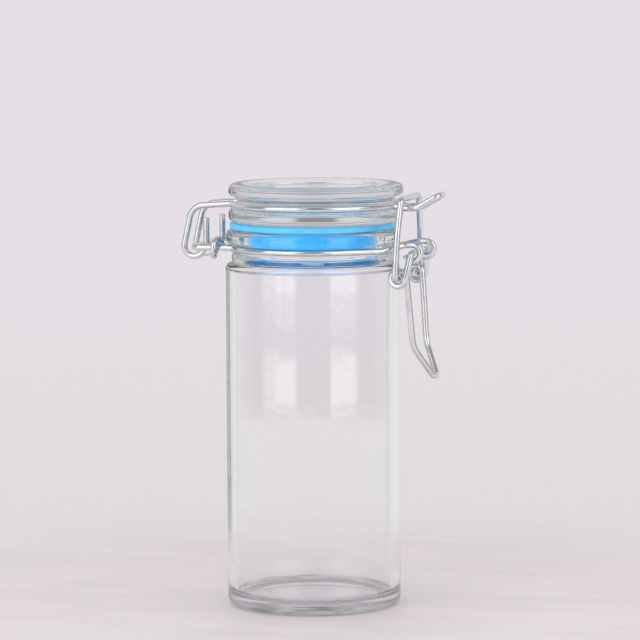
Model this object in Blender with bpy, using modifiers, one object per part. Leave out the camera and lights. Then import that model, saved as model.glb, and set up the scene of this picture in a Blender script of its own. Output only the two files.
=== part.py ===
"""A small glass jar with a clip top: pressed glass body and lid, silicone gasket and a bent wire clip.

The origin is on the jar's axis, at the plane it stands on. +Z is up, +X points to the clip,
-X to the hinge, and Y runs along the hinge bar and the clip's pivots. All sizes are in metres.
"""

import math

import bpy
from mathutils import Vector

# Clearances
SEAT_GAP = 0.0003  # between glass, gasket and wire where they touch on the real jar
TURNING_GAP = 0.0003  # between a wire and the wire that turns on it
COIL_GAP = 0.0005  # between neighbouring passes of one wire
SIDE_GAP = 0.0004  # sideways, between wires that pass each other

# Wire
WIRE = 0.0018  # diameter of all five wires
WIRE_RADIUS = WIRE / 2

# Jar. An inset is measured inwards from the piece's widest side.
BODY_RADIUS = 0.0250
BODY_HEIGHT = 0.0989  # standing ring to the top of the shoulder
SHOULDER_DEPTH = 0.0003
SHOULDER_ROUND = 0.0014
HEEL_ROUND = 0.0024
WALL = 0.0027
FLOOR_THICKNESS = 0.0032
FLOOR_ROUND = 0.0026
PUNT_INSET = 0.0075
PUNT_DEPTH = 0.0010
PUNT_ROUND = 0.0010
STANDING_RING_INSET = 0.0060
NECK_WAIST_INSET = 0.0024
NECK_WAIST_HEIGHT = 0.0006
FLANGE_INSET = 0.0002
FLANGE_HEIGHT = 0.0039
FLANGE_LOWER_ROUND = 0.0015
FLANGE_UPPER_ROUND = 0.0013
NECK_BEAD_INSET = 0.0016
NECK_BEAD_HEIGHT = 0.0026
NECK_BEAD_ROUND = 0.0012
NECK_GROOVE_INSET = 0.0032
RIM_WIDTH = 0.0060  # mouth to the flange's edge
MOUTH_ROUND = 0.0006
THROAT_DEPTH = 0.0077  # the mouth's straight bore, down from the rim
THROAT_ROUND = 0.0012

# Gasket, a flat ring on the rim with a collar that hangs inside the mouth
GASKET_THICKNESS = 0.0018
GASKET_INSET = 0.0011
GASKET_ROUND = 0.0003
COLLAR_DEPTH = 0.0064
COLLAR_THICKNESS = 0.0012
COLLAR_ROUND = 0.0005

# Lid
LID_OFFSET = 0.00105  # the clip pulls the lid this far off the jar's axis
LID_OVERHANG = 0.00025  # past the jar's flange
LID_FLANGE_HEIGHT = 0.0037
LID_FLANGE_ROUND = 0.0016
LID_GROOVE_INSET = 0.00225
LID_GROOVE_WIDTH = 0.0037
LID_RIM_HEIGHT = 0.0034
LID_RIM_ROUND = 0.0016
LID_RIM_WIDTH = 0.00605
LID_WELL_DEPTH = 0.0016
LID_WELL_SLOPE = 0.0022
LID_WELL_ROUND = 0.0010
PLUG_REACH = 0.0010  # below the jar's rim
PLUG_WALL = 0.0033
PLUG_ROUND = 0.0009
PLUG_HOLLOW_DEPTH = 0.0042
PLUG_HOLLOW_ROUND = 0.0018

# Hinge. A standoff is measured outwards from the edge of the jar's flange.
HINGE_STANDOFF = 0.0083
ARM_SPREAD = 0.0098  # middle plane to each arm of the hinge ear
EAR_BEND = 0.0026
ARM_BEND = 0.0025
WRAP_GAP = 0.0006  # round an arm, inside the tie's loose turn
WRAP_STANDOFF = 0.0023
POST_STANDOFF = 0.0048
POST_HEIGHT = 0.0084  # above the neck wire
POST_BEND = 0.0015
TIE_BEND = 0.0016
HOOK_PLAY = 0.0009  # the hook's middle lies this far behind the hinge bar
HOOK_END_ANGLE = -20  # degrees, where the hook stops inside the ear
ELBOW_STANDOFF = 0.0098
ELBOW_DROP = 0.0009  # below the lid wire's ring
ELBOW_BEND = 0.0045
LID_WIRE_BEND = 0.0025

# Nose of the lid wire
NOSE_SPREAD = 0.0036
NOSE_DROP = 0.0006  # below the lid wire's ring
NOSE_START_STANDOFF = 0.0027
NOSE_KNEE_STANDOFF = 0.0070
NOSE_BEND = 0.0040
NOSE_TIP_STANDOFF = 0.0133
NOSE_TIP_RISE = 0.0036
NOSE_TIP_SPREAD = 0.0028
NOSE_TIP_BEND = 0.0024

# Eyes of the neck wire and pivots of the clip
EYE_STANDOFF = 0.0070
EYE_DROP = 0.0006  # below the neck wire's ring
EYE_PLAY = 0.0009  # the eye's bore is this much wider than the wire
EYE_SPREAD = 0.0070
EYE_LEAD = 0.0022
EYE_LEAD_BEND = 0.0030
EYE_TURN = 255  # degrees
STRAND_LEVEL_STANDOFF = 0.0014  # the strand leaves the neck level out to here
STRAND_BEND = 0.0080
COIL_STANDOFF = 0.0034
COIL_DROP = 0.0072  # below the eyes
BAR_STANDOFF = 0.0042
BAR_CLEARANCE = 0.00105  # above the nose, used up as the clip passes its dead centre

# Lever
STUB_INSET = 0.0016  # inside the eye's middle
STUB_BEND = 0.0013
LEG_SPREAD = 0.0084
KICK_SPREAD = 0.0072
KICK_STANDOFF = 0.0070
KICK_DROP = 0.0195  # below the coils
KICK_BEND = 0.0080
TIP_SPREAD = 0.0017
TIP_STANDOFF = 0.0115
TIP_DROP = 0.0283
TIP_BEND = 0.0015

# Tension bail
BAR_SPREAD = 0.0094
BAR_BEND = 0.0019
BAIL_WAIST_SPREAD = 0.0122
BAIL_WAIST_DROP = 0.0095
BAIL_WAIST_BEND = 0.0200
BAIL_SIDE_GAP = 0.0010  # between a leg of the bail and a coil
BAIL_END_INSET = 0.0007  # past the coil's inner face
BAIL_END_BEND = 0.0014

# Facets
TURN_STEPS = 36
CORNER_STEP = math.radians(30)
BEND_STEP = math.radians(22)
CURL_STEP = math.radians(20)
RING_STEP = math.radians(8)
WIRE_BEVEL_STEPS = 2

# Radii, worked inwards from the body
FLANGE_RADIUS = BODY_RADIUS - FLANGE_INSET
NECK_WAIST_RADIUS = BODY_RADIUS - NECK_WAIST_INSET
STANDING_RING_RADIUS = BODY_RADIUS - STANDING_RING_INSET
PUNT_RADIUS = BODY_RADIUS - PUNT_INSET
NECK_BEAD_RADIUS = FLANGE_RADIUS - NECK_BEAD_INSET
NECK_GROOVE_RADIUS = FLANGE_RADIUS - NECK_GROOVE_INSET
MOUTH_RADIUS = FLANGE_RADIUS - RIM_WIDTH
GASKET_RADIUS = FLANGE_RADIUS - GASKET_INSET
COLLAR_RADIUS = MOUTH_RADIUS - SEAT_GAP
COLLAR_BORE = COLLAR_RADIUS - COLLAR_THICKNESS
LID_RADIUS = FLANGE_RADIUS + LID_OVERHANG
LID_GROOVE_RADIUS = LID_RADIUS - LID_GROOVE_INSET
LID_WELL_RADIUS = LID_RADIUS - LID_RIM_WIDTH
PLUG_RADIUS = COLLAR_BORE - SEAT_GAP - LID_OFFSET
PLUG_HOLLOW_RADIUS = PLUG_RADIUS - PLUG_WALL

# Heights, stacked up from the standing ring
BEAD_BASE = BODY_HEIGHT + NECK_WAIST_HEIGHT
BEAD_TOP = BEAD_BASE + NECK_BEAD_HEIGHT
NECK_WIRE_Z = BEAD_TOP + SEAT_GAP + WIRE_RADIUS
FLANGE_BASE = NECK_WIRE_Z + WIRE_RADIUS + SEAT_GAP
JAR_TOP = FLANGE_BASE + FLANGE_HEIGHT
GASKET_BASE = JAR_TOP + SEAT_GAP
GASKET_TOP = GASKET_BASE + GASKET_THICKNESS
LID_BASE = GASKET_TOP + SEAT_GAP
LID_GROOVE_BASE = LID_BASE + LID_FLANGE_HEIGHT
LID_WIRE_Z = LID_GROOVE_BASE + SEAT_GAP + WIRE_RADIUS
LID_RIM_BASE = LID_GROOVE_BASE + LID_GROOVE_WIDTH
LID_TOP = LID_RIM_BASE + LID_RIM_HEIGHT
PLUG_BASE = JAR_TOP - PLUG_REACH

# Radii of the two wire rings
NECK_RING_RADIUS = NECK_GROOVE_RADIUS + SEAT_GAP + WIRE_RADIUS
LID_RING_RADIUS = LID_GROOVE_RADIUS + SEAT_GAP + WIRE_RADIUS

# Places of the hinge, the clip and the nose, in the X-Z plane
HINGE_X = -FLANGE_RADIUS - HINGE_STANDOFF
HINGE_Z = NECK_WIRE_Z
WRAP_X = -FLANGE_RADIUS - WRAP_STANDOFF
POST_X = -FLANGE_RADIUS - POST_STANDOFF
ELBOW_X = -FLANGE_RADIUS - ELBOW_STANDOFF
PIVOT_X = FLANGE_RADIUS + EYE_STANDOFF
PIVOT_Z = NECK_WIRE_Z - EYE_DROP
COIL_X = FLANGE_RADIUS + COIL_STANDOFF
COIL_Z = PIVOT_Z - COIL_DROP
KICK_X = FLANGE_RADIUS + KICK_STANDOFF
TIP_X = FLANGE_RADIUS + TIP_STANDOFF
NOSE_Z = LID_WIRE_Z - NOSE_DROP
NOSE_START_X = FLANGE_RADIUS + NOSE_START_STANDOFF
NOSE_KNEE_X = FLANGE_RADIUS + NOSE_KNEE_STANDOFF
NOSE_TIP_X = FLANGE_RADIUS + NOSE_TIP_STANDOFF
BAR_X = FLANGE_RADIUS + BAR_STANDOFF
BAR_Z = NOSE_Z + WIRE + BAR_CLEARANCE

# Sideways places, each worked out from the wire it passes
EYE_RADIUS = (WIRE + EYE_PLAY + WIRE) / 2
COIL_RADIUS = WIRE + TURNING_GAP
WRAP_RADIUS = WIRE + WRAP_GAP
TIE_SPREAD = ARM_SPREAD - WRAP_RADIUS
HOOK_SPREAD = TIE_SPREAD - WIRE - TURNING_GAP
HOOK_RADIUS = WIRE + TURNING_GAP + HOOK_PLAY
STUB_SPREAD = EYE_SPREAD + WIRE + SIDE_GAP
COIL_INNER_SPREAD = LEG_SPREAD
COIL_OUTER_SPREAD = LEG_SPREAD + WIRE + COIL_GAP
BAIL_SPREAD = COIL_OUTER_SPREAD + WIRE + BAIL_SIDE_GAP
BAIL_END_SPREAD = COIL_INNER_SPREAD - WIRE_RADIUS - BAIL_END_INSET

# Materials: name, colour, roughness and metallic value
GLASS_FINISH = ("clear_glass", (0.86, 0.90, 0.89), 0.03, 0.0)
SILICONE_FINISH = ("blue_silicone", (0.16, 0.55, 0.95), 0.45, 0.0)
PLATED_FINISH = ("plated_wire", (0.78, 0.79, 0.80), 0.22, 1.0)


def clear_scene():
    for thing in list(bpy.data.objects):
        bpy.data.objects.remove(thing, do_unlink=True)


def new_collection(name):
    group = bpy.data.collections.new(name)
    bpy.context.scene.collection.children.link(group)
    return group


def material(finish):
    name, colour, roughness, metallic = finish
    made = bpy.data.materials.get(name) or bpy.data.materials.new(name)
    made.use_nodes = True
    shader = made.node_tree.nodes["Principled BSDF"]
    shader.inputs["Base Color"].default_value = (*colour, 1.0)
    shader.inputs["Roughness"].default_value = roughness
    shader.inputs["Metallic"].default_value = metallic
    return made


def axis_empty(name, x, z, group, parent=None):
    """An empty on a joint's axis, which runs along Y."""
    axis = bpy.data.objects.new(name, None)
    axis.empty_display_size = WIRE
    axis.location = (x, 0, z)
    group.objects.link(axis)
    if parent:
        axis.parent = parent
        axis.location = Vector((x, 0, z)) - parent.location
    return axis


def hang(thing, axis):
    """Parents a piece to its joint's empty and leaves it where it is."""
    thing.parent = axis
    carrier = axis
    while carrier:
        thing.location -= carrier.location
        carrier = carrier.parent


def rounded(corners, step):
    """Points along a line of corners, each (place, radius), with every corner bent to its radius.

    A corner of radius zero stays as it is, and a bend is limited by the straights beside it.
    """
    places = [Vector(place) for place, _ in corners]
    line = [places[0]]
    for index in range(1, len(corners) - 1):
        before, corner, after = places[index - 1 : index + 2]
        radius = corners[index][1]
        arriving = (corner - before).normalized()
        leaving = (after - corner).normalized()
        turn = arriving.angle(leaving, 0)
        if not radius or turn < step / 4:
            line.append(corner)
            continue
        room = min((corner - before).length, (after - corner).length) / 2
        cut = min(radius * math.tan(turn / 2), room)
        radius = cut / math.tan(turn / 2)
        inward = (leaving - arriving * arriving.dot(leaving)).normalized()
        start = corner - arriving * cut
        count = max(2, math.ceil(turn / step))
        for number in range(count + 1):
            angle = turn * number / count
            line.append(
                start
                + inward * radius * (1 - math.cos(angle))
                + arriving * radius * math.sin(angle)
            )
    line.append(places[-1])
    return line


def without_doubles(line):
    """The line without points that lie on the one before."""
    kept = [line[0]]
    for point in line[1:]:
        if (point - kept[-1]).length > SEAT_GAP / 10:
            kept.append(point)
    return kept


def on_circle(centre, radius, angle):
    """A point of a circle in the X-Z plane, as (x, z)."""
    return (
        centre[0] + radius * math.cos(angle),
        centre[1] + radius * math.sin(angle),
    )


def tangent_angle(point, centre, radius, side):
    """The angle on an X-Z circle where a line from the point touches it, on side +1 or -1."""
    away = Vector((point[0] - centre[0], point[1] - centre[1]))
    bearing = math.atan2(away.y, away.x)
    return bearing + side * math.acos(min(1.0, radius / away.length))


def arc(start, end, step):
    """Angles from start to end, in even steps no larger than the step."""
    count = max(1, math.ceil(abs(end - start) / step))
    return [start + (end - start) * number / count for number in range(count + 1)]


def ring_corners(radius, height, start, end, middle=0):
    """Corners along a level ring about the jar's axis, or about an axis at X = middle."""
    return [
        ((middle + radius * math.cos(angle), radius * math.sin(angle), height), 0)
        for angle in arc(start, end, RING_STEP)
    ]


def both_sides(half):
    """A whole wire from its half on +Y, which starts on the middle plane."""
    other = [Vector((point.x, -point.y, point.z)) for point in half[:0:-1]]
    return other + half


def gap_to_itself(line):
    """The least gap between parts of one wire that lie over two diameters apart along it."""
    along = [0.0]
    for one, two in zip(line, line[1:]):
        along.append(along[-1] + (two - one).length)
    least = math.inf
    for first, near in enumerate(line):
        for second in range(first + 1, len(line)):
            if along[second] - along[first] > 2 * WIRE:
                least = min(least, (line[second] - near).length)
    return least - WIRE


def wire(name, line, group):
    """A round wire along the line, as a curve with flat cut ends."""
    line = without_doubles(line)
    curve = bpy.data.curves.new(name, "CURVE")
    curve.dimensions = "3D"
    curve.bevel_depth = WIRE_RADIUS
    curve.bevel_resolution = WIRE_BEVEL_STEPS
    curve.use_fill_caps = True
    spline = curve.splines.new("POLY")
    spline.points.add(len(line) - 1)
    for point, place in zip(spline.points, line):
        point.co = (*place, 1)
    spline.use_smooth = True
    piece = bpy.data.objects.new(name, curve)
    curve.materials.append(material(PLATED_FINISH))
    group.objects.link(piece)
    print(name, "least gap to itself", round(gap_to_itself(line), 5))
    return piece


def turned(name, corners, finish, group, closed):
    """A turned piece from its profile's corners, each ((radius, z), rounding), outer side downwards."""
    flat = [((radius, 0, z), rounding) for (radius, z), rounding in corners]
    line = without_doubles(rounded(flat, CORNER_STEP))
    edges = [(number, number + 1) for number in range(len(line) - 1)]
    if closed:
        line = line[:-1]
        edges[-1] = (len(line) - 1, 0)
    mesh = bpy.data.meshes.new(name)
    mesh.from_pydata(line, edges, [])
    mesh.materials.append(material(finish))
    piece = bpy.data.objects.new(name, mesh)
    group.objects.link(piece)
    screw = piece.modifiers.new("turn", "SCREW")
    screw.steps = TURN_STEPS
    screw.render_steps = TURN_STEPS
    screw.use_merge_vertices = True
    screw.merge_threshold = SEAT_GAP / 30
    screw.use_smooth_shade = True
    return piece


def make_jar(group):
    inner_radius = BODY_RADIUS - WALL
    throat = JAR_TOP - THROAT_DEPTH
    shoulder_base = BODY_HEIGHT - SHOULDER_DEPTH
    inner_shoulder = throat - (inner_radius - MOUTH_RADIUS)
    corners = [
        ((0, FLOOR_THICKNESS), 0),
        ((inner_radius, FLOOR_THICKNESS), FLOOR_ROUND),
        ((inner_radius, inner_shoulder), THROAT_ROUND),
        ((MOUTH_RADIUS, throat), THROAT_ROUND),
        ((MOUTH_RADIUS, JAR_TOP), MOUTH_ROUND),
        ((FLANGE_RADIUS, JAR_TOP), FLANGE_UPPER_ROUND),
        ((FLANGE_RADIUS, FLANGE_BASE), FLANGE_LOWER_ROUND),
        ((NECK_GROOVE_RADIUS, FLANGE_BASE), 0),
        ((NECK_GROOVE_RADIUS, BEAD_TOP), 0),
        ((NECK_BEAD_RADIUS, BEAD_TOP), NECK_BEAD_ROUND),
        ((NECK_BEAD_RADIUS, BEAD_BASE), NECK_BEAD_ROUND),
        ((NECK_WAIST_RADIUS, BODY_HEIGHT), NECK_WAIST_HEIGHT / 2),
        ((BODY_RADIUS, shoulder_base), SHOULDER_ROUND),
        ((BODY_RADIUS, 0), HEEL_ROUND),
        ((STANDING_RING_RADIUS, 0), PUNT_ROUND),
        ((PUNT_RADIUS, PUNT_DEPTH), PUNT_ROUND),
        ((0, PUNT_DEPTH), 0),
    ]
    return turned("jar", corners, GLASS_FINISH, group, closed=False)


def make_lid(group):
    well_floor = LID_TOP - LID_WELL_DEPTH
    hollow_top = PLUG_BASE + PLUG_HOLLOW_DEPTH
    corners = [
        ((0, well_floor), 0),
        ((LID_WELL_RADIUS, well_floor), LID_WELL_ROUND),
        ((LID_WELL_RADIUS + LID_WELL_SLOPE, LID_TOP), LID_WELL_ROUND),
        ((LID_RADIUS, LID_TOP), LID_RIM_ROUND),
        ((LID_RADIUS, LID_RIM_BASE), LID_RIM_ROUND),
        ((LID_GROOVE_RADIUS, LID_RIM_BASE), 0),
        ((LID_GROOVE_RADIUS, LID_GROOVE_BASE), 0),
        ((LID_RADIUS, LID_GROOVE_BASE), LID_FLANGE_ROUND),
        ((LID_RADIUS, LID_BASE), LID_FLANGE_ROUND),
        ((PLUG_RADIUS, LID_BASE), 0),
        ((PLUG_RADIUS, PLUG_BASE), PLUG_ROUND),
        ((PLUG_HOLLOW_RADIUS, PLUG_BASE), PLUG_ROUND),
        ((PLUG_HOLLOW_RADIUS, hollow_top), PLUG_HOLLOW_ROUND),
        ((0, hollow_top), 0),
    ]
    piece = turned("lid", corners, GLASS_FINISH, group, closed=False)
    piece.location.x = LID_OFFSET
    return piece


def make_gasket(group):
    """The ring between rim and lid, and the collar that hangs from its inner edge."""
    collar_base = JAR_TOP - COLLAR_DEPTH
    corners = [
        ((COLLAR_BORE, GASKET_BASE), 0),
        ((COLLAR_BORE, GASKET_TOP), GASKET_ROUND),
        ((GASKET_RADIUS, GASKET_TOP), GASKET_ROUND),
        ((GASKET_RADIUS, GASKET_BASE), GASKET_ROUND),
        ((COLLAR_RADIUS, GASKET_BASE), 0),
        ((COLLAR_RADIUS, collar_base), COLLAR_ROUND),
        ((COLLAR_BORE, collar_base), COLLAR_ROUND),
        ((COLLAR_BORE, GASKET_BASE), 0),
    ]
    return turned("gasket", corners, SILICONE_FINISH, group, closed=True)


def make_neck_wire(group):
    """The hinge ear, the ring in the neck's groove and a curled eye at each front end."""
    arm_angle = math.pi - math.asin(ARM_SPREAD / NECK_RING_RADIUS)
    eye_top = PIVOT_Z + EYE_RADIUS
    lead_x = PIVOT_X - EYE_LEAD
    lead_distance = math.hypot(lead_x, EYE_SPREAD)
    touch = math.acos(NECK_RING_RADIUS / lead_distance)
    leave_angle = math.atan2(EYE_SPREAD, lead_x) + touch
    level = math.sqrt((FLANGE_RADIUS + STRAND_LEVEL_STANDOFF) ** 2 - NECK_RING_RADIUS**2)
    level_end = (
        NECK_RING_RADIUS * math.cos(leave_angle) + level * math.sin(leave_angle),
        NECK_RING_RADIUS * math.sin(leave_angle) - level * math.cos(leave_angle),
        NECK_WIRE_Z,
    )
    half = [
        ((HINGE_X, 0, HINGE_Z), 0),
        ((HINGE_X, ARM_SPREAD, HINGE_Z), EAR_BEND),
    ]
    ring = ring_corners(NECK_RING_RADIUS, NECK_WIRE_Z, arm_angle, leave_angle)
    half.append((ring[0][0], ARM_BEND))
    half += ring[1:]
    half.append((level_end, STRAND_BEND))
    half.append(((lead_x, EYE_SPREAD, eye_top), EYE_LEAD_BEND))
    line = rounded(half + [((PIVOT_X, EYE_SPREAD, eye_top), 0)], BEND_STEP)
    start = math.pi / 2
    for angle in arc(start, start - math.radians(EYE_TURN), CURL_STEP)[1:]:
        x, z = on_circle((PIVOT_X, PIVOT_Z), EYE_RADIUS, angle)
        line.append(Vector((x, EYE_SPREAD, z)))
    return wire("neck_wire", both_sides(line), group)


def make_collar_tie(group):
    """The wire that holds the collar shut behind the neck: a turn round each arm, then a post."""
    leave_angle = math.pi - math.asin(TIE_SPREAD / NECK_RING_RADIUS)
    ring = ring_corners(NECK_RING_RADIUS, NECK_WIRE_Z, math.pi, leave_angle)
    pitch = WIRE + COIL_GAP
    wrap_front = WRAP_X + pitch
    half = ring[:-1]
    half.append((ring[-1][0], TIE_BEND))
    line = rounded(half + [((wrap_front, TIE_SPREAD, NECK_WIRE_Z), 0)], BEND_STEP)
    for angle in arc(0, 2 * math.pi, CURL_STEP)[1:]:
        share = angle / (2 * math.pi)
        y = ARM_SPREAD - WRAP_RADIUS * math.cos(angle)
        z = NECK_WIRE_Z + WRAP_RADIUS * math.sin(angle)
        line.append(Vector((wrap_front - pitch * share, y, z)))
    post = [
        (line[-1], 0),
        ((POST_X, TIE_SPREAD, NECK_WIRE_Z), POST_BEND),
        ((POST_X, TIE_SPREAD, NECK_WIRE_Z + POST_HEIGHT), 0),
    ]
    line += rounded(post, BEND_STEP)[1:]
    return wire("collar_tie", both_sides(line), group)


def make_lid_wire(group):
    """The ring in the lid's groove, a hook round the hinge bar on each side and the nose."""
    hook_centre = (HINGE_X - HOOK_PLAY, HINGE_Z)
    elbow = (ELBOW_X, LID_WIRE_Z - ELBOW_DROP)
    strand_angle = tangent_angle(elbow, hook_centre, HOOK_RADIUS, 1)
    end_angle = math.radians(360 + HOOK_END_ANGLE)
    line = []
    for angle in arc(end_angle, strand_angle, CURL_STEP)[:-1]:
        x, z = on_circle(hook_centre, HOOK_RADIUS, angle)
        line.append(Vector((x, HOOK_SPREAD, z)))
    x, z = on_circle(hook_centre, HOOK_RADIUS, strand_angle)
    back_angle = math.pi - math.asin(HOOK_SPREAD / LID_RING_RADIUS)
    nose_angle = math.asin(NOSE_SPREAD / LID_RING_RADIUS)
    ring = ring_corners(LID_RING_RADIUS, LID_WIRE_Z, back_angle, nose_angle, LID_OFFSET)
    tip_z = NOSE_Z + NOSE_TIP_RISE
    corners = [
        ((x, HOOK_SPREAD, z), 0),
        ((elbow[0], HOOK_SPREAD, elbow[1]), ELBOW_BEND),
        (ring[0][0], LID_WIRE_BEND),
        *ring[1:-1],
        (ring[-1][0], LID_WIRE_BEND),
        ((NOSE_START_X, NOSE_SPREAD, NOSE_Z), NOSE_BEND),
        ((NOSE_KNEE_X, NOSE_SPREAD, NOSE_Z), NOSE_BEND),
        ((NOSE_TIP_X, NOSE_TIP_SPREAD, tip_z), NOSE_TIP_BEND),
        ((NOSE_TIP_X, 0, tip_z), 0),
    ]
    line += rounded(corners, BEND_STEP)
    return wire("lid_wire", both_sides(line[::-1]), group)


def make_lever(group):
    """The finger loop, with a coil in each leg and a stub through each eye."""
    pivot = (PIVOT_X, PIVOT_Z)
    coil = (COIL_X, COIL_Z)
    kick = (KICK_X, COIL_Z - KICK_DROP)
    tip_z = COIL_Z - TIP_DROP
    arm_angle = tangent_angle(pivot, coil, COIL_RADIUS, -1)
    leg_angle = tangent_angle(kick, coil, COIL_RADIUS, 1)
    corners = [
        ((TIP_X, 0, tip_z), 0),
        ((TIP_X, TIP_SPREAD, tip_z), TIP_BEND),
        ((kick[0], KICK_SPREAD, kick[1]), KICK_BEND),
    ]
    turn = 2 * math.pi - (leg_angle - arm_angle)
    curl = []
    for angle in arc(leg_angle, leg_angle + turn, CURL_STEP):
        share = (angle - leg_angle) / turn
        y = COIL_INNER_SPREAD + (COIL_OUTER_SPREAD - COIL_INNER_SPREAD) * share
        x, z = on_circle(coil, COIL_RADIUS, angle)
        curl.append(((x, y, z), 0))
    corners += curl
    corners += [
        ((PIVOT_X, STUB_SPREAD, PIVOT_Z), STUB_BEND),
        ((PIVOT_X, EYE_SPREAD - STUB_INSET, PIVOT_Z), 0),
    ]
    return wire("lever", both_sides(rounded(corners, BEND_STEP)), group)


def make_tension_bail(group):
    """The bar over the nose, two splayed legs and an end through each of the lever's coils."""
    drop_share = BAIL_WAIST_DROP / (BAR_Z - COIL_Z)
    waist_x = BAR_X + (COIL_X - BAR_X) * drop_share
    corners = [
        ((BAR_X, 0, BAR_Z), 0),
        ((BAR_X, BAR_SPREAD, BAR_Z), BAR_BEND),
        ((waist_x, BAIL_WAIST_SPREAD, BAR_Z - BAIL_WAIST_DROP), BAIL_WAIST_BEND),
        ((COIL_X, BAIL_SPREAD, COIL_Z), BAIL_END_BEND),
        ((COIL_X, BAIL_END_SPREAD, COIL_Z), 0),
    ]
    return wire("tension_bail", both_sides(rounded(corners, BEND_STEP)), group)


def main():
    clear_scene()
    group = new_collection("clip_top_jar")
    lid_axis = axis_empty("lid_hinge_axis", HINGE_X, HINGE_Z, group)
    lever_axis = axis_empty("lever_axis", PIVOT_X, PIVOT_Z, group)
    bail_axis = axis_empty("bail_axis", COIL_X, COIL_Z, group, lever_axis)
    make_jar(group)
    make_gasket(group)
    make_neck_wire(group)
    make_collar_tie(group)
    hang(make_lid(group), lid_axis)
    hang(make_lid_wire(group), lid_axis)
    hang(make_lever(group), lever_axis)
    hang(make_tension_bail(group), bail_axis)
    bpy.context.view_layer.update()


main()
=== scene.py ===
"""Dresses the clip-top jar in pressed glass, silicone and bent plated wire.

It stands on a pale floor in soft studio light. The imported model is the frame: its origin is on
the jar's axis at the standing plane, +Z is up, +X points to the clip and -X to the hinge.
All lengths are in metres.
"""

import math

import bpy
from bpy.props import FloatProperty, FloatVectorProperty, IntProperty, PointerProperty
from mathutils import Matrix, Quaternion, Vector


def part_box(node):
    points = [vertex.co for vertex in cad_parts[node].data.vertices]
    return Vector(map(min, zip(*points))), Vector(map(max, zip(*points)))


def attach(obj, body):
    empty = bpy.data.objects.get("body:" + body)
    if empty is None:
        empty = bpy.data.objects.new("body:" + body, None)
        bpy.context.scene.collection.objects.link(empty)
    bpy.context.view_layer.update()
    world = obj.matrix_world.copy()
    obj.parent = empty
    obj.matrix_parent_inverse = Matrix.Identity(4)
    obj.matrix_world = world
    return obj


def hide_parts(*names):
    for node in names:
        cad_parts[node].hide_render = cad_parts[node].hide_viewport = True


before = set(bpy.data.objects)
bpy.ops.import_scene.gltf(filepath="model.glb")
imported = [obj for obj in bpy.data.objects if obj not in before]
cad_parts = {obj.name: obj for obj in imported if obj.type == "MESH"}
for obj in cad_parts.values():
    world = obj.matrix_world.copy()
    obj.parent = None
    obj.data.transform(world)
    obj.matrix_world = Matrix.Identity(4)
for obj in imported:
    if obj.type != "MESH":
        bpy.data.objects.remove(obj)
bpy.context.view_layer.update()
JAR_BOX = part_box("jar")
LID_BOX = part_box("lid")
GASKET_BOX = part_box("gasket")
LID_MIDDLE = (LID_BOX[0].x + LID_BOX[1].x) / 2

bl_info = {
    "name": "Clip-top jar",
    "version": (1, 0, 0),
    "blender": (4, 5, 0),
    "location": "3D View > Sidebar > Clip Jar",
    "description": "Makes the glass, the gasket, the bent wires and the stage of a clip-top jar",
    "category": "Object",
}

TINY = 1e-6
BOUNCES = 24  # with the usual few, the thick lid has black patches


def length(label, note, default):
    """A size in metres that a user may change."""
    return FloatProperty(
        name=label,
        description=note,
        default=default,
        min=0.0,
        precision=5,
        subtype="DISTANCE",
        unit="LENGTH",
    )


def colour(label, note, default):
    return FloatVectorProperty(
        name=label, description=note, default=default, size=3, min=0, max=1, subtype="COLOR"
    )


def turn(label, note, default):
    return FloatProperty(
        name=label, description=note, default=math.radians(default), subtype="ANGLE"
    )


def share(label, note, default, most=1.0):
    return FloatProperty(name=label, description=note, default=default, min=0.0, max=most)


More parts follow.
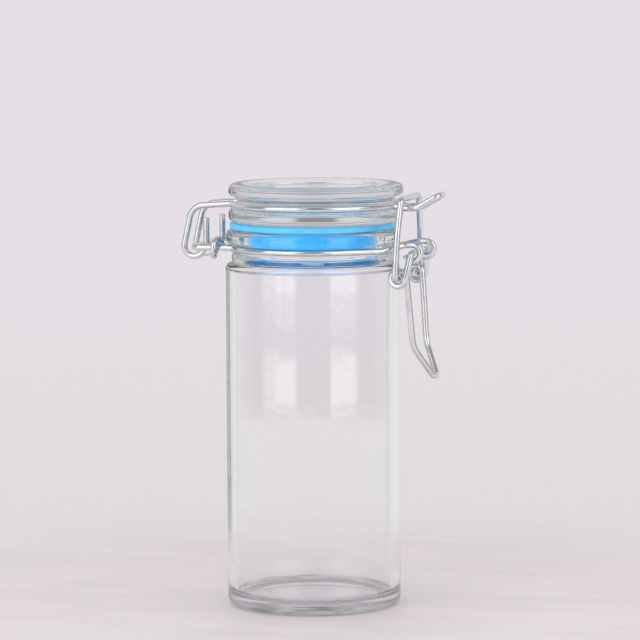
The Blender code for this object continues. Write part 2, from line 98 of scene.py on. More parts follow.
class ClipJarGlass(bpy.types.PropertyGroup):
    """Sizes and look of the pressed glass jar and lid."""

    body_radius: length("Body radius", "Axis to the outside of the body", JAR_BOX[1].x)
    body_height: length("Body height", "Standing ring to the top of the shoulder", 0.0989)
    shoulder_depth: length("Shoulder depth", "Height of the sloped shoulder", 0.0003)
    shoulder_round: length("Shoulder round", "Rounding under the shoulder", 0.0014)
    heel_round: length("Heel round", "Rounding at the foot of the body", 0.0024)
    wall: length("Wall", "Thickness of the body's wall", 0.0027)
    floor_thickness: length("Floor", "Thickness of the floor at the middle", 0.0032)
    floor_round: length("Floor round", "Rounding inside, between floor and wall", 0.0026)
    punt_radius: length("Punt radius", "Radius of the hollow under the base", 0.0175)
    punt_depth: length("Punt depth", "Depth of the hollow under the base", 0.0010)
    ring_inner: length("Standing ring", "Inner radius of the ring it stands on", 0.0190)
    waist_radius: length("Waist radius", "Radius under the neck bead", 0.0226)
    waist_height: length("Waist height", "Height of the waist under the neck bead", 0.0006)
    bead_radius: length("Bead radius", "Radius of the bead under the neck wire", 0.0232)
    bead_height: length("Bead height", "Height of that bead", 0.0026)
    bead_round: length("Bead round", "Rounding of that bead", 0.0012)
    groove_radius: length("Groove radius", "Radius of the neck wire's groove", 0.0216)
    groove_width: length("Groove width", "Height of the neck wire's groove", 0.0024)
    flange_radius: length("Flange radius", "Radius of the flange at the mouth", 0.0248)
    flange_height: length("Flange height", "Height of that flange", 0.0039)
    flange_round: length("Flange round", "Rounding of that flange", 0.0014)
    mouth_radius: length("Mouth radius", "Bore of the mouth", 0.0188)
    throat_depth: length("Throat depth", "Straight bore, down from the mouth", 0.0077)
    throat_round: length("Throat round", "Rounding inside the shoulder", 0.0012)
    lid_base: length("Lid base", "Height of the lid's lower face", 0.1108)
    lid_offset: length("Lid offset", "How far the clip pulls the lid off the axis", LID_MIDDLE)
    lid_radius: length("Lid radius", "Radius of the lid's flange and rim", LID_BOX[1].y)
    lid_flange: length("Lid flange", "Height of the lid's flange", 0.0037)
    lid_flange_round: length("Lid flange round", "Rounding of that flange", 0.0016)
    lid_groove: length("Lid groove", "Radius of the lid wire's groove", 0.0228)
    lid_groove_width: length("Lid groove width", "Height of that groove", 0.0037)
    lid_rim: length("Lid rim", "Height of the lid's rim", 0.0034)
    lid_rim_round: length("Lid rim round", "Rounding of the rim", 0.0016)
    well_radius: length("Well radius", "Radius of the well in the lid's top", 0.0190)
    well_depth: length("Well depth", "Depth of that well", 0.0016)
    well_slope: length("Well slope", "Width of the slope round that well", 0.0022)
    plug_radius: length("Plug radius", "Radius of the plug under the lid", 0.01595)
    plug_base: length("Plug base", "Height of the plug's lower end", 0.1074)
    plug_round: length("Plug round", "Rounding of the plug's lower end", 0.0009)
    hollow_radius: length("Hollow radius", "Radius of the hollow in the plug", 0.01265)
    hollow_depth: length("Hollow depth", "Depth of that hollow", 0.0042)
    hollow_round: length("Hollow round", "Rounding of that hollow", 0.0018)
    tint: colour("Tint", "Colour of what shows through the glass", (0.994, 0.997, 0.998))
    # heel and heel_pale: painted shade in streaks round the thick base, partly the thick glass's
    # own tint
    heel: colour("Heel", "Tint of the thick base where it is darkest", (0.30, 0.32, 0.32))
    heel_pale: colour("Heel, pale", "Tint of the base where it is palest", (0.76, 0.78, 0.78))
    shadow: colour("Shadow", "Colour of the lamplight that one face lets by", (0.97, 0.98, 0.98))
    depth_tint: colour("Depth tint", "Tint that grows with the glass's depth", (0.62, 0.66, 0.68))
    density: share("Density", "How fast that tint grows", 11.0, 100.0)
    refraction: FloatProperty(
        name="Refraction", description="Index of refraction", default=1.5, min=1.0, max=2.0
    )
    waviness: share("Waviness", "How much the pressed faces waver", 0.10)
    steps: IntProperty(
        name="Steps", description="Steps round a turned piece", default=160, min=16, max=256
    )


class ClipJarSeal(bpy.types.PropertyGroup):
    """Size and look of the silicone gasket."""

    bore: length("Bore", "Inner radius of the gasket", 0.0173)
    radius: length("Radius", "Outer radius of the gasket", GASKET_BOX[1].x)
    base: length("Base", "Height of the ring's lower face", 0.1087)
    top: length("Top", "Height of its upper face", GASKET_BOX[1].z)
    collar_radius: length("Collar radius", "Outer radius of the collar in the mouth", 0.0185)
    collar_base: length("Collar base", "Height of the collar's lower end", GASKET_BOX[0].z)
    round_edge: length("Edge", "Rounding of its edges", 0.0003)
    rib: length("Rib", "Height of the sealing rib on each face", 0.00012)
    blue: colour("Blue", "Colour of the silicone", (0.12, 0.60, 0.99))
    # painted shade: a deeper blue for the collar, which sits in shade inside the glass
    collar_painted_shade_blue: colour("Collar blue", "Its colour inside the glass", (0.03, 0.48, 0.99))
    glow: colour("Glow", "Light added to the collar, to match the photo", (0.0, 0.17, 0.36))


class ClipJarWire(bpy.types.PropertyGroup):
    """Sizes and look of the bent wires."""

    diameter: length("Diameter", "Diameter of the wire", 0.0018)
    neck_height: length("Neck wire", "Height of the neck wire's ring", 0.1033)
    neck_ring: length("Neck ring", "Centreline radius of the neck wire", 0.0228)
    lid_height: length("Lid wire", "Height of the lid wire's ring", 0.1157)
    lid_ring: length("Lid ring", "Centreline radius of the lid wire", 0.0240)
    hinge_reach: length("Hinge reach", "Axis to the hinge bar", 0.0331)
    pivot_reach: length("Pivot reach", "Axis to the lever's pivots", 0.0318)
    pivot_drop: length("Pivot drop", "Pivots below the neck wire", 0.0006)
    coil_reach: length("Coil reach", "Axis to the lever's coils", 0.0282)
    coil_drop: length("Coil drop", "Coils below the pivots", 0.0072)
    bar_reach: length("Bar reach", "Axis to the bail's bar", 0.0290)
    bar_height: length("Bar height", "Height of the bail's bar", 0.11795)
    plating: colour("Plating", "Colour of the plated wire", (0.73, 0.74, 0.75))
    polish: share("Roughness", "Roughness of the plating", 0.14)
    sides: IntProperty(
        name="Sides", description="Sides of a wire's round section", default=20, min=8, max=48
    )


class ClipJarStage(bpy.types.PropertyGroup):
    """Camera, light and floor."""

    azimuth: turn("Azimuth", "Camera's turn round the jar", 17.0)
    distance: length("Distance", "Camera to the jar's axis, on the level", 1.0910)
    height: length("Height", "Camera above the floor", 0.1983)
    aim_height: length("Aim height", "Height that the camera looks at", 0.0821)
    aim_side: length("Aim side", "How far the camera looks past the axis", 0.0020)
    roll: turn("Roll", "Camera's roll", -0.3)
    lens: FloatProperty(
        name="Lens",
        description="Focal length",
        default=214.8,
        min=10.0,
        subtype="DISTANCE_CAMERA",
        unit="CAMERA",
    )
    floor_radius: length("Floor radius", "Where the floor has faded out", 0.30)
    floor: colour("Floor", "Colour of the floor", (0.795, 0.735, 0.750))
    backdrop_high: colour("Backdrop, high", "Backdrop at the top", (0.79, 0.738, 0.785))
    backdrop_low: colour("Backdrop, low", "Backdrop lower down", (0.75, 0.71, 0.725))
    fill: share("Fill", "Strength of the light from all round", 0.70, 4.0)
    window: share("Window", "Brightness of the windows that reflect", 1.5, 10.0)
    ceiling: share("Ceiling", "Brightness of the ceiling that reflects", 1.5, 10.0)
    key: FloatProperty(
        name="Key", description="Power of the key light", default=3.0, min=0.0, unit="POWER"
    )


def settings():
    """The four groups of settings: glass, seal, wire and stage."""
    scene = bpy.context.scene
    return (
        scene.clip_jar_glass,
        scene.clip_jar_seal,
        scene.clip_jar_wire,
        scene.clip_jar_stage,
    )


# Shader maths


class Signal:
    """A shader socket whose arithmetic adds Math nodes."""

    def __init__(self, finish, socket):
        self.finish = finish
        self.socket = socket

    def maths(self, operation, *others):
        return self.finish.node("ShaderNodeMath", {"operation": operation}, *others)

    def __add__(self, other):
        return self.maths("ADD", self, other)

    def __sub__(self, other):
        return self.maths("SUBTRACT", self, other)

    def __rsub__(self, other):
        return self.maths("SUBTRACT", other, self)

    def __mul__(self, other):
        return self.maths("MULTIPLY", self, other)

    def __truediv__(self, other):
        return self.maths("DIVIDE", self, other)

    def __pow__(self, other):
        return self.maths("POWER", self, other)

    __radd__ = __add__
    __rmul__ = __mul__

    def smooth(self, low, high):
        """0 below low, 1 above high and a soft ramp between."""
        return self.finish.node(
            "ShaderNodeMapRange",
            {"interpolation_type": "SMOOTHSTEP"},
            **{"Value": self, "From Min": low, "From Max": high},
        )

    def band(self, low, high, soft):
        """1 between low and high and 0 outside, with soft edges."""
        rise = self.smooth(low - soft, low + soft)
        return rise * (1 - self.smooth(high - soft, high + soft))


class Finish:
    """A node tree under construction, on a material or the world."""

    def __init__(self, name, world=False):
        if world:
            self.owner = bpy.data.worlds.new(name)
        else:
            self.owner = bpy.data.materials.new(name)
        self.owner.use_nodes = True
        self.tree = self.owner.node_tree
        self.tree.nodes.clear()

    def node(self, kind, options=None, *places, output=0, **sockets):
        """Adds a node, sets its options, then its sockets by place or by name."""
        made = self.tree.nodes.new(kind)
        for option, value in (options or {}).items():
            if option == "stops":
                self.set_stops(made.color_ramp, value)
            else:
                setattr(made, option, value)
        for place, value in [*enumerate(places), *sockets.items()]:
            if isinstance(value, Signal):
                self.tree.links.new(value.socket, made.inputs[place])
            else:
                made.inputs[place].default_value = value
        return Signal(self, made.outputs[output]) if made.outputs else None

    @staticmethod
    def set_stops(ramp, stops):
        while len(ramp.elements) < len(stops):
            ramp.elements.new(1.0)
        for element, (place, shade) in zip(ramp.elements, stops):
            element.position = place
            element.color = (*shade, 1.0)

    def object_place(self, scale, turn_by=(0, 0, 0)):
        """Object coordinates in metres, stretched by scale."""
        place = self.node("ShaderNodeTexCoord", output="Object")
        return self.node(
            "ShaderNodeMapping", None, Vector=place, Scale=scale, Rotation=turn_by
        )

    def noise(self, place, size, detail=2.0, roughness=0.5):
        return self.node(
            "ShaderNodeTexNoise",
            None,
            Vector=place,
            Scale=1 / size,
            Detail=detail,
            Roughness=roughness,
        )

    def blend(self, amount, low, high):
        """A colour between low and high."""
        return self.node(
            "ShaderNodeMix",
            {"data_type": "RGBA"},
            output=2,
            Factor=amount,
            **{"A": low, "B": high},
        )


# Finishes


def glass_finish(name, seed):
    """Clear pressed glass whose faces waver a little, with a faint film of handling on it.

    Lamplight passes straight through it, so that the jar's shadow on the floor stays pale.
    """
    glass, _, _, _ = settings()
    finish = Finish(name)
    drawn = finish.object_place((1.0, 1.0, 0.22), (0, 0, seed))
    pressed = finish.object_place((1.0, 1.0, 1.0), (seed, 0, 0))
    waver = finish.noise(drawn, 0.016, 1.0) * 0.8 + finish.noise(pressed, 0.006, 1.0) * 0.2
    grain = finish.noise(pressed, 0.0012, 2.0)
    height = waver + grain * 0.012
    bump = finish.node(
        "ShaderNodeBump", None, Strength=glass.waviness, Distance=0.0006, Height=height
    )
    film = finish.noise(pressed, 0.011, 4.0, 0.62).smooth(0.45, 0.72)
    shader = finish.node(
        "ShaderNodeBsdfPrincipled",
        None,
        Roughness=film * 0.035,
        Normal=bump,
        IOR=glass.refraction,
        **{
            # base colour: the glass's tint, with painted shade in streaks round the thick base
            "Base Color": heel_painted_shade(finish),
            "Transmission Weight": 1.0,
            "Specular IOR Level": 0.5,
        },
    )
    lamplight = finish.node("ShaderNodeLightPath", output="Is Shadow Ray")
    clear = finish.node("ShaderNodeBsdfTransparent", None, (*glass.shadow, 1.0))
    both = finish.node("ShaderNodeMixShader", None, lamplight, shader, clear)
    tinted = finish.node(
        "ShaderNodeVolumeAbsorption",
        None,
        Color=(*glass.depth_tint, 1.0),
        Density=glass.density,
    )
    finish.node("ShaderNodeOutputMaterial", None, Surface=both, Volume=tinted)
    return finish.owner


def heel_painted_shade(finish):
    """The glass's tint, darker in streaks round the outside of the thick base: partly the thick
    glass's own tint and partly painted shade.
    """
    glass, _, _, _ = settings()
    place = finish.node("ShaderNodeTexCoord", output="Object")
    x, y, z = (
        finish.node("ShaderNodeSeparateXYZ", None, place, output=axis) for axis in "XYZ"
    )
    radius = (x * x + y * y) ** 0.5
    outside = radius.smooth(glass.body_radius * 0.91, glass.body_radius * 0.97)
    low = 1 - z.smooth(glass.floor_thickness * 0.8, glass.floor_thickness * 1.3)
    drawn = finish.object_place((0.35, 0.35, 2.2))
    streaks = finish.noise(drawn, 0.004, 3.0, 0.6).smooth(0.38, 0.58)
    # painted shade, partly the glass's own tint: streaks between heel and heel_pale
    dark = finish.blend(streaks, (*glass.heel, 1.0), (*glass.heel_pale, 1.0))
    return finish.blend(outside * low, (*glass.tint, 1.0), dark)


def silicone_finish(name):
    """Blue silicone, satin and a little see-through, with fine dust and a moulded grain.

    The collar, which is seen through the neck, is painted a deeper blue as painted shade, and
    gives off some light.
    Real silicone doesn't: set the glow to black for a part in a darker scene.
    """
    _, seal, _, _ = settings()
    finish = Finish(name)
    place = finish.object_place((1, 1, 1))
    mottle = finish.noise(place, 0.004, 3.0, 0.6)
    dust = finish.noise(place, 0.0009, 4.0, 0.7).smooth(0.58, 0.75)
    unscaled = finish.node("ShaderNodeTexCoord", output="Object")
    height = finish.node("ShaderNodeSeparateXYZ", None, unscaled, output="Z")
    collar = 1 - height.smooth(seal.base - seal.round_edge, seal.base)
    # painted shade: the collar gets the deeper blue
    blue = finish.blend(collar, (*seal.blue, 1), (*seal.collar_painted_shade_blue, 1))
    deep = finish.blend(0.10, blue, (0.0, 0.0, 0.0, 1))
    pale = finish.blend(0.22, blue, (1.0, 1.0, 1.0, 1))
    body = finish.blend(mottle.smooth(0.3, 0.7), deep, blue)
    skin = finish.blend(dust * 0.6, body, pale)
    glow = finish.blend(collar, (0.0, 0.0, 0.0, 1), (*seal.glow, 1))
    relief = finish.noise(place, 0.0005, 3.0) * 0.6 + mottle * 0.4
    bump = finish.node(
        "ShaderNodeBump", None, Strength=0.12, Distance=0.0001, Height=relief
    )
    shader = finish.node(
        "ShaderNodeBsdfPrincipled",
        None,
        Roughness=mottle * 0.16 + dust * 0.1 + 0.30 - collar * 0.18,
        Normal=bump,
        IOR=1.5,
        **{
            "Base Color": skin,
            "Emission Color": glow,
            "Emission Strength": 1.0,
            "Subsurface Weight": 0.35,
            "Subsurface Radius": (0.35, 0.7, 1.0),
            "Subsurface Scale": 0.0015,
        },
    )
    finish.node("ShaderNodeOutputMaterial", None, Surface=shader)
    return finish.owner


def plated_finish(name, run):
    """Bright plating on drawn wire: fine lines along the wire, dull patches and small pits.

    run is the wire's length, so that the lines keep their size along its UV map.
    """
    _, _, wire, _ = settings()
    finish = Finish(name)
    along = finish.node("ShaderNodeTexCoord", output="UV")
    girth = math.pi * wire.diameter
    flat = finish.node("ShaderNodeMapping", None, Vector=along, Scale=(run, girth, 1.0))
    drawn = finish.node("ShaderNodeMapping", None, Vector=flat, Scale=(0.03, 1.0, 1.0))
    lines = finish.noise(drawn, 0.00022, 3.0, 0.6)
    place = finish.object_place((1, 1, 1))
    clouds = finish.noise(place, 0.0035, 4.0, 0.6)
    pits = finish.noise(place, 0.0007, 2.0, 0.5).smooth(0.66, 0.74)
    dull = clouds.smooth(0.42, 0.70)
    grey = tuple(channel * 0.80 for channel in wire.plating)
    worn = finish.blend(dull * 0.55 + pits * 0.35, (*wire.plating, 1), (*grey, 1))
    height = lines * 0.30 + clouds * 0.25 - pits * 0.30
    bump = finish.node(
        "ShaderNodeBump", None, Strength=0.10, Distance=0.00012, Height=height
    )
    shader = finish.node(
        "ShaderNodeBsdfPrincipled",
        None,
        Roughness=dull * 0.10 + lines * 0.05 + (wire.polish - 0.03),
        Metallic=1.0,
        Normal=bump,
        **{"Base Color": worn},
    )
    finish.node("ShaderNodeOutputMaterial", None, Surface=shader)
    return finish.owner


# Modelling by hand tools


def deselect_everything():
    if bpy.context.mode != "OBJECT":
        bpy.ops.object.mode_set(mode="OBJECT")
    bpy.ops.object.select_all(action="DESELECT")


def select_points(piece, test):
    """In edit mode, selects the vertices whose place passes the test."""
    bpy.ops.mesh.select_all(action="DESELECT")
    bpy.ops.mesh.select_mode(type="VERT")
    bpy.ops.object.mode_set(mode="OBJECT")
    for point in piece.data.vertices:
        point.select = test(point.co)
    bpy.ops.object.mode_set(mode="EDIT")


def round_cut(before, corner, after, radius):
    """How far along its two edges a corner's rounding starts."""
    turned_by = (corner - before).angle(after - corner)
    room = min((corner - before).length, (after - corner).length) * 0.48
    return min(radius * math.tan(turned_by / 2), room)


def turned_piece(name, corners, closed=False, segments=9):
    """Extrudes an outline corner by corner, rounds its corners and spins it about the axis.

    Each corner is (radius, height, rounding).
    """
    glass, _, _, _ = settings()
    deselect_everything()
    places = [Vector((radius, 0, height)) for radius, height, _ in corners]
    bpy.ops.mesh.primitive_plane_add(size=glass.wall, location=(0, 0, 0))
    piece = bpy.context.object
    piece.name = piece.data.name = name
    bpy.ops.object.mode_set(mode="EDIT")
    bpy.ops.mesh.merge(type="CENTER")
    bpy.ops.transform.translate(value=places[0])
    for one, two in zip(places, places[1:]):
        bpy.ops.mesh.extrude_vertices_move(TRANSFORM_OT_translate={"value": two - one})
    ring = list(range(len(corners)))
    if closed:
        bpy.ops.mesh.select_all(action="SELECT")
        bpy.ops.mesh.remove_doubles(threshold=TINY)
        ring = ring[:-1]
    for index in ring:
        radius = corners[index][2]
        if not radius:
            continue
        before = places[index - 1] if index else places[-2]
        after = places[index + 1]
        cut = round_cut(before, places[index], after, radius)
        select_points(piece, lambda co, at=places[index]: (co - at).length < TINY)
        bpy.ops.mesh.bevel(
            offset=cut,
            offset_type="OFFSET",
            segments=segments,
            profile=0.5,
            affect="VERTICES",
        )
    bpy.ops.mesh.select_all(action="SELECT")
    bpy.ops.mesh.spin(
        steps=glass.steps, angle=math.tau, center=(0, 0, 0), axis=(0, 0, 1)
    )
    bpy.ops.mesh.select_all(action="SELECT")
    bpy.ops.mesh.remove_doubles(threshold=TINY)
    bpy.ops.mesh.normals_make_consistent(inside=False)
    bpy.ops.object.mode_set(mode="OBJECT")
    smooth_by_weight(piece)
    return piece


def smooth_by_weight(piece, sharp=35):
    """Smooth shading whose large faces keep their own normals, with sharp corners kept."""
    bpy.ops.object.shade_smooth_by_angle(angle=math.radians(sharp))
    weighted = piece.modifiers.new("weighted", "WEIGHTED_NORMAL")
    weighted.keep_sharp = True
    weighted.weight = 100
    bpy.ops.object.modifier_apply(modifier=weighted.name)


def put_on(piece, material, body, slot, *nodes):
    """Gives a piece its finish and its body, and hides the nodes that it replaces. The slot is
    not used.
    """
    piece.data.materials.clear()
    piece.data.materials.append(material)
    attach(piece, body)
    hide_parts(*nodes)


# Lines of the bent wires

BEND_STEP = math.radians(7)
CURL_STEP = math.radians(8)
RING_STEP = math.radians(2.5)


def rounded(corners):
    """Points along a line of corners, each (place, radius), with each bent to its radius."""
    places = [Vector(place) for place, _ in corners]
    line = [places[0]]
    for index in range(1, len(corners) - 1):
        before, corner, after = places[index - 1 : index + 2]
        radius = corners[index][1]
        arriving = (corner - before).normalized()
        leaving = (after - corner).normalized()
        turned_by = arriving.angle(leaving, 0)
        if not radius or turned_by < BEND_STEP / 8:
            line.append(corner)
            continue
        room = min((corner - before).length, (after - corner).length) / 2
        cut = min(radius * math.tan(turned_by / 2), room)
        radius = cut / math.tan(turned_by / 2)
        inward = (leaving - arriving * arriving.dot(leaving)).normalized()
        start = corner - arriving * cut
        count = max(2, math.ceil(turned_by / BEND_STEP))
        for number in range(count + 1):
            angle = turned_by * number / count
            sideways = inward * radius * (1 - math.cos(angle))
            line.append(start + sideways + arriving * radius * math.sin(angle))
    line.append(places[-1])
    return line


def on_circle(centre, radius, angle):
    """A point of a circle in the X-Z plane, as (x, z)."""
    return (centre[0] + radius * math.cos(angle), centre[1] + radius * math.sin(angle))


def tangent_angle(point, centre, radius, side):
    """The angle on an X-Z circle where a line from the point touches it, on side +1 or -1."""
    away = Vector((point[0] - centre[0], point[1] - centre[1]))
    bearing = math.atan2(away.y, away.x)
    return bearing + side * math.acos(min(1.0, radius / away.length))


def arc(start, end, step):
    """Angles from start to end, in even steps no larger than the step."""
    count = max(1, math.ceil(abs(end - start) / step))
    return [start + (end - start) * number / count for number in range(count + 1)]


def ring_corners(radius, height, start, end, middle=0):
    """Corners along a level ring about the jar's axis, or about an axis at X = middle."""
    return [
        ((middle + radius * math.cos(angle), radius * math.sin(angle), height), 0)
        for angle in arc(start, end, RING_STEP)
    ]


def both_sides(half):
    """A whole wire from its half on +Y, which starts on the middle plane."""
    return [Vector((point.x, -point.y, point.z)) for point in half[:0:-1]] + half


def bent_wire(name, line, body):
    """Bends a round wire along the line and rounds the burr off its two cut ends."""
    _, _, wire, _ = settings()
    points = [line[0]]
    for point in line[1:]:
        if (point - points[-1]).length > wire.diameter / 60:
            points.append(point)
    run = sum((two - one).length for one, two in zip(points, points[1:]))
    deselect_everything()
    bpy.ops.curve.primitive_nurbs_path_add(radius=wire.diameter, location=(0, 0, 0))
    path = bpy.context.object
    path.name = path.data.name = name
    bpy.ops.object.mode_set(mode="EDIT")
    bpy.ops.curve.select_all(action="SELECT")
    bpy.ops.curve.spline_type_set(type="POLY")
    spare = math.ceil((len(points) - 1) / 4) - 1
    bpy.ops.curve.subdivide(number_cuts=spare)
    bpy.ops.object.mode_set(mode="OBJECT")
    made = path.data.splines[0].points
    points = spread_to(points, len(made))
    for knot, place in zip(made, points):
        knot.co = (*place, 1.0)
    path.data.splines[0].use_smooth = True
    path.data.bevel_depth = wire.diameter / 2
    path.data.bevel_resolution = (wire.sides - 4) // 2
    path.data.use_fill_caps = True
    bpy.ops.object.convert(target="MESH")
    piece = bpy.context.object
    round_ends(piece, (points[0], points[-1]))
    put_on(piece, plated_finish(name + "_plating", run), body, "plated_wire", name)
    return piece


def spread_to(points, count):
    """The same line with more points, added in its longest steps."""
    points = list(points)
    while len(points) < count:
        steps = [(two - one).length for one, two in zip(points, points[1:])]
        longest = steps.index(max(steps))
        points.insert(longest + 1, (points[longest] + points[longest + 1]) / 2)
    return points


def round_ends(piece, ends):
    """Bevels the rim of each cut end."""
    _, _, wire, _ = settings()
    reach = wire.diameter * 0.55
    bpy.ops.object.mode_set(mode="EDIT")
    bpy.ops.mesh.select_all(action="SELECT")
    bpy.ops.mesh.remove_doubles(threshold=TINY)
    bpy.ops.mesh.normals_make_consistent(inside=False)
    bpy.ops.mesh.select_mode(type="FACE")
    for end in ends:
        bpy.ops.mesh.select_all(action="DESELECT")
        bpy.ops.object.mode_set(mode="OBJECT")
        for face in piece.data.polygons:
            if len(face.vertices) == 3 and (face.center - end).length < reach:
                face.select = True
        bpy.ops.object.mode_set(mode="EDIT")
        bpy.ops.mesh.dissolve_faces()
        bpy.ops.mesh.region_to_loop()
        bpy.ops.mesh.bevel(offset=wire.diameter / 9, segments=3, affect="EDGES")
        bpy.ops.mesh.select_mode(type="FACE")
    bpy.ops.object.mode_set(mode="OBJECT")
    bpy.ops.object.shade_smooth_by_angle(angle=math.radians(40))


# Places and bends of the wires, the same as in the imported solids

COIL_GAP = 0.0005
ARM_SPREAD = 0.0098
EAR_BEND = 0.0026
ARM_BEND = 0.0025
WRAP_RADIUS = 0.0024
WRAP_BACK = 0.0271
TIE_SPREAD = 0.0074
TIE_BEND = 0.0016
POST_REACH = 0.0296
POST_HEIGHT = 0.0084
POST_BEND = 0.0015
HOOK_SPREAD = 0.0053
HOOK_RADIUS = 0.0030
HOOK_PLAY = 0.0009
HOOK_END = math.radians(340)
ELBOW_REACH = 0.0346
ELBOW_DROP = 0.0009
ELBOW_BEND = 0.0045
LID_WIRE_BEND = 0.0025
NOSE_SPREAD = 0.0036
NOSE_DROP = 0.0006
NOSE_START = 0.0275
NOSE_KNEE = 0.0318
NOSE_BEND = 0.0040
NOSE_TIP_REACH = 0.0381
NOSE_TIP_RISE = 0.0036
NOSE_TIP_SPREAD = 0.0028
NOSE_TIP_BEND = 0.0024
EYE_RADIUS = 0.00225
EYE_SPREAD = 0.0070
EYE_LEAD = 0.0022
EYE_LEAD_BEND = 0.0030
EYE_TURN = math.radians(255)
STRAND_LEVEL_RADIUS = 0.0262
STRAND_BEND = 0.0080
STUB_SPREAD = 0.0092
STUB_END = 0.0054
STUB_BEND = 0.0013
COIL_RADIUS = 0.0021
COIL_INNER_SPREAD = 0.0084
COIL_OUTER_SPREAD = 0.0107
KICK_SPREAD = 0.0072
KICK_REACH = 0.0318
KICK_DROP = 0.0195
KICK_BEND = 0.0080
TIP_SPREAD = 0.0017
TIP_REACH = 0.0363
TIP_DROP = 0.0283
TIP_BEND = 0.0015
BAR_SPREAD = 0.0094
BAR_BEND = 0.0019
WAIST_SPREAD = 0.0122
WAIST_DROP = 0.0095
WAIST_BEND = 0.0200
BAIL_SPREAD = 0.0135
BAIL_END = 0.0068
BAIL_END_BEND = 0.0014


class CLIPJAR_OT_jar(bpy.types.Operator):
    """Turns the glass jar from its outline"""

    bl_idname = "clip_jar.jar"
    bl_label = "Jar"

    def execute(self, context):
        glass, _, _, _ = settings()
        inner = glass.body_radius - glass.wall
        bead_base = glass.body_height + glass.waist_height
        bead_top = bead_base + glass.bead_height
        flange_base = bead_top + glass.groove_width
        rim = flange_base + glass.flange_height
        throat = rim - glass.throat_depth
        outline = [
            (0, glass.floor_thickness, 0),
            (inner, glass.floor_thickness, glass.floor_round),
            (inner, throat - (inner - glass.mouth_radius), glass.throat_round),
            (glass.mouth_radius, throat, glass.throat_round),
            (glass.mouth_radius, rim, glass.flange_round / 2),
            (glass.flange_radius, rim, glass.flange_round),
            (glass.flange_radius, flange_base, glass.flange_round),
            (glass.groove_radius, flange_base, glass.flange_round / 5),
            (glass.groove_radius, bead_top, glass.flange_round / 5),
            (glass.bead_radius, bead_top, glass.bead_round),
            (glass.bead_radius, bead_base, glass.bead_round),
            (glass.waist_radius, glass.body_height, glass.waist_height / 2),
            (
                glass.body_radius,
                glass.body_height - glass.shoulder_depth,
                glass.shoulder_round,
            ),
            (glass.body_radius, 0, glass.heel_round),
            (glass.ring_inner, 0, glass.waist_height),
            (glass.punt_radius, glass.punt_depth, glass.waist_height),
            (0, glass.punt_depth, 0),
        ]
        jar = turned_piece("glass_jar", outline)
        put_on(jar, glass_finish("jar_glass", 0.31), "jar_body", "clear_glass", "jar")
        return {"FINISHED"}


class CLIPJAR_OT_lid(bpy.types.Operator):
    """Turns the glass lid, with the well in its top and the hollow plug below"""

    bl_idname = "clip_jar.lid"
    bl_label = "Lid"

    def execute(self, context):
        glass, _, _, _ = settings()
        groove_base = glass.lid_base + glass.lid_flange
        rim_base = groove_base + glass.lid_groove_width
        top = rim_base + glass.lid_rim
        well = top - glass.well_depth
        hollow_top = glass.plug_base + glass.hollow_depth
        outline = [
            (0, well, 0),
            (glass.well_radius, well, glass.plug_round),
            (glass.well_radius + glass.well_slope, top, glass.plug_round),
            (glass.lid_radius, top, glass.lid_rim_round),
            (glass.lid_radius, rim_base, glass.lid_rim_round),
            (glass.lid_groove, rim_base, glass.plug_round / 3),
            (glass.lid_groove, groove_base, glass.plug_round / 3),
            (glass.lid_radius, groove_base, glass.lid_flange_round),
            (glass.lid_radius, glass.lid_base, glass.lid_flange_round),
            (glass.plug_radius, glass.lid_base, glass.plug_round / 3),
            (glass.plug_radius, glass.plug_base, glass.plug_round),
            (glass.hollow_radius, glass.plug_base, glass.plug_round),
            (glass.hollow_radius, hollow_top, glass.hollow_round),
            (0, hollow_top, 0),
        ]
        lid = turned_piece("glass_lid", outline)
        bpy.ops.transform.translate(value=(glass.lid_offset, 0, 0))
        bpy.ops.object.transform_apply(location=True, rotation=False, scale=False)
        put_on(lid, glass_finish("lid_glass", 1.27), "lid_set", "clear_glass", "lid")
        return {"FINISHED"}


class CLIPJAR_OT_gasket(bpy.types.Operator):
    """Turns the silicone gasket: a ring with a thin rib on each face, and a collar below it"""

    bl_idname = "clip_jar.gasket"
    bl_label = "Gasket"

    def execute(self, context):
        _, seal, _, _ = settings()
        rib_in = seal.bore + (seal.radius - seal.bore) * 0.55
        rib_out = rib_in + seal.round_edge * 3
        low = seal.base + seal.rib
        high = seal.top - seal.rib
        outline = [
            (seal.bore, seal.base, 0),
            (seal.bore, high, seal.round_edge),
            (rib_in, high, seal.rib),
            (rib_in + seal.rib, seal.top, seal.rib),
            (rib_out - seal.rib, seal.top, seal.rib),
            (rib_out, high, seal.rib),
            (seal.radius, high, seal.round_edge),
            (seal.radius, low, seal.round_edge),
            (rib_out, low, seal.rib),
            (rib_out - seal.rib, seal.base, seal.rib),
            (rib_in + seal.rib, seal.base, seal.rib),
            (rib_in, low, seal.rib),
            (seal.collar_radius, low, seal.round_edge),
            (seal.collar_radius, seal.collar_base, seal.round_edge * 1.5),
            (seal.bore, seal.collar_base, seal.round_edge * 1.5),
            (seal.bore, seal.base, 0),
        ]
        gasket = turned_piece("silicone_gasket", outline, closed=True, segments=4)
        finish = silicone_finish("blue_silicone_skin")
        put_on(gasket, finish, "jar_body", "blue_silicone", "gasket")
        return {"FINISHED"}


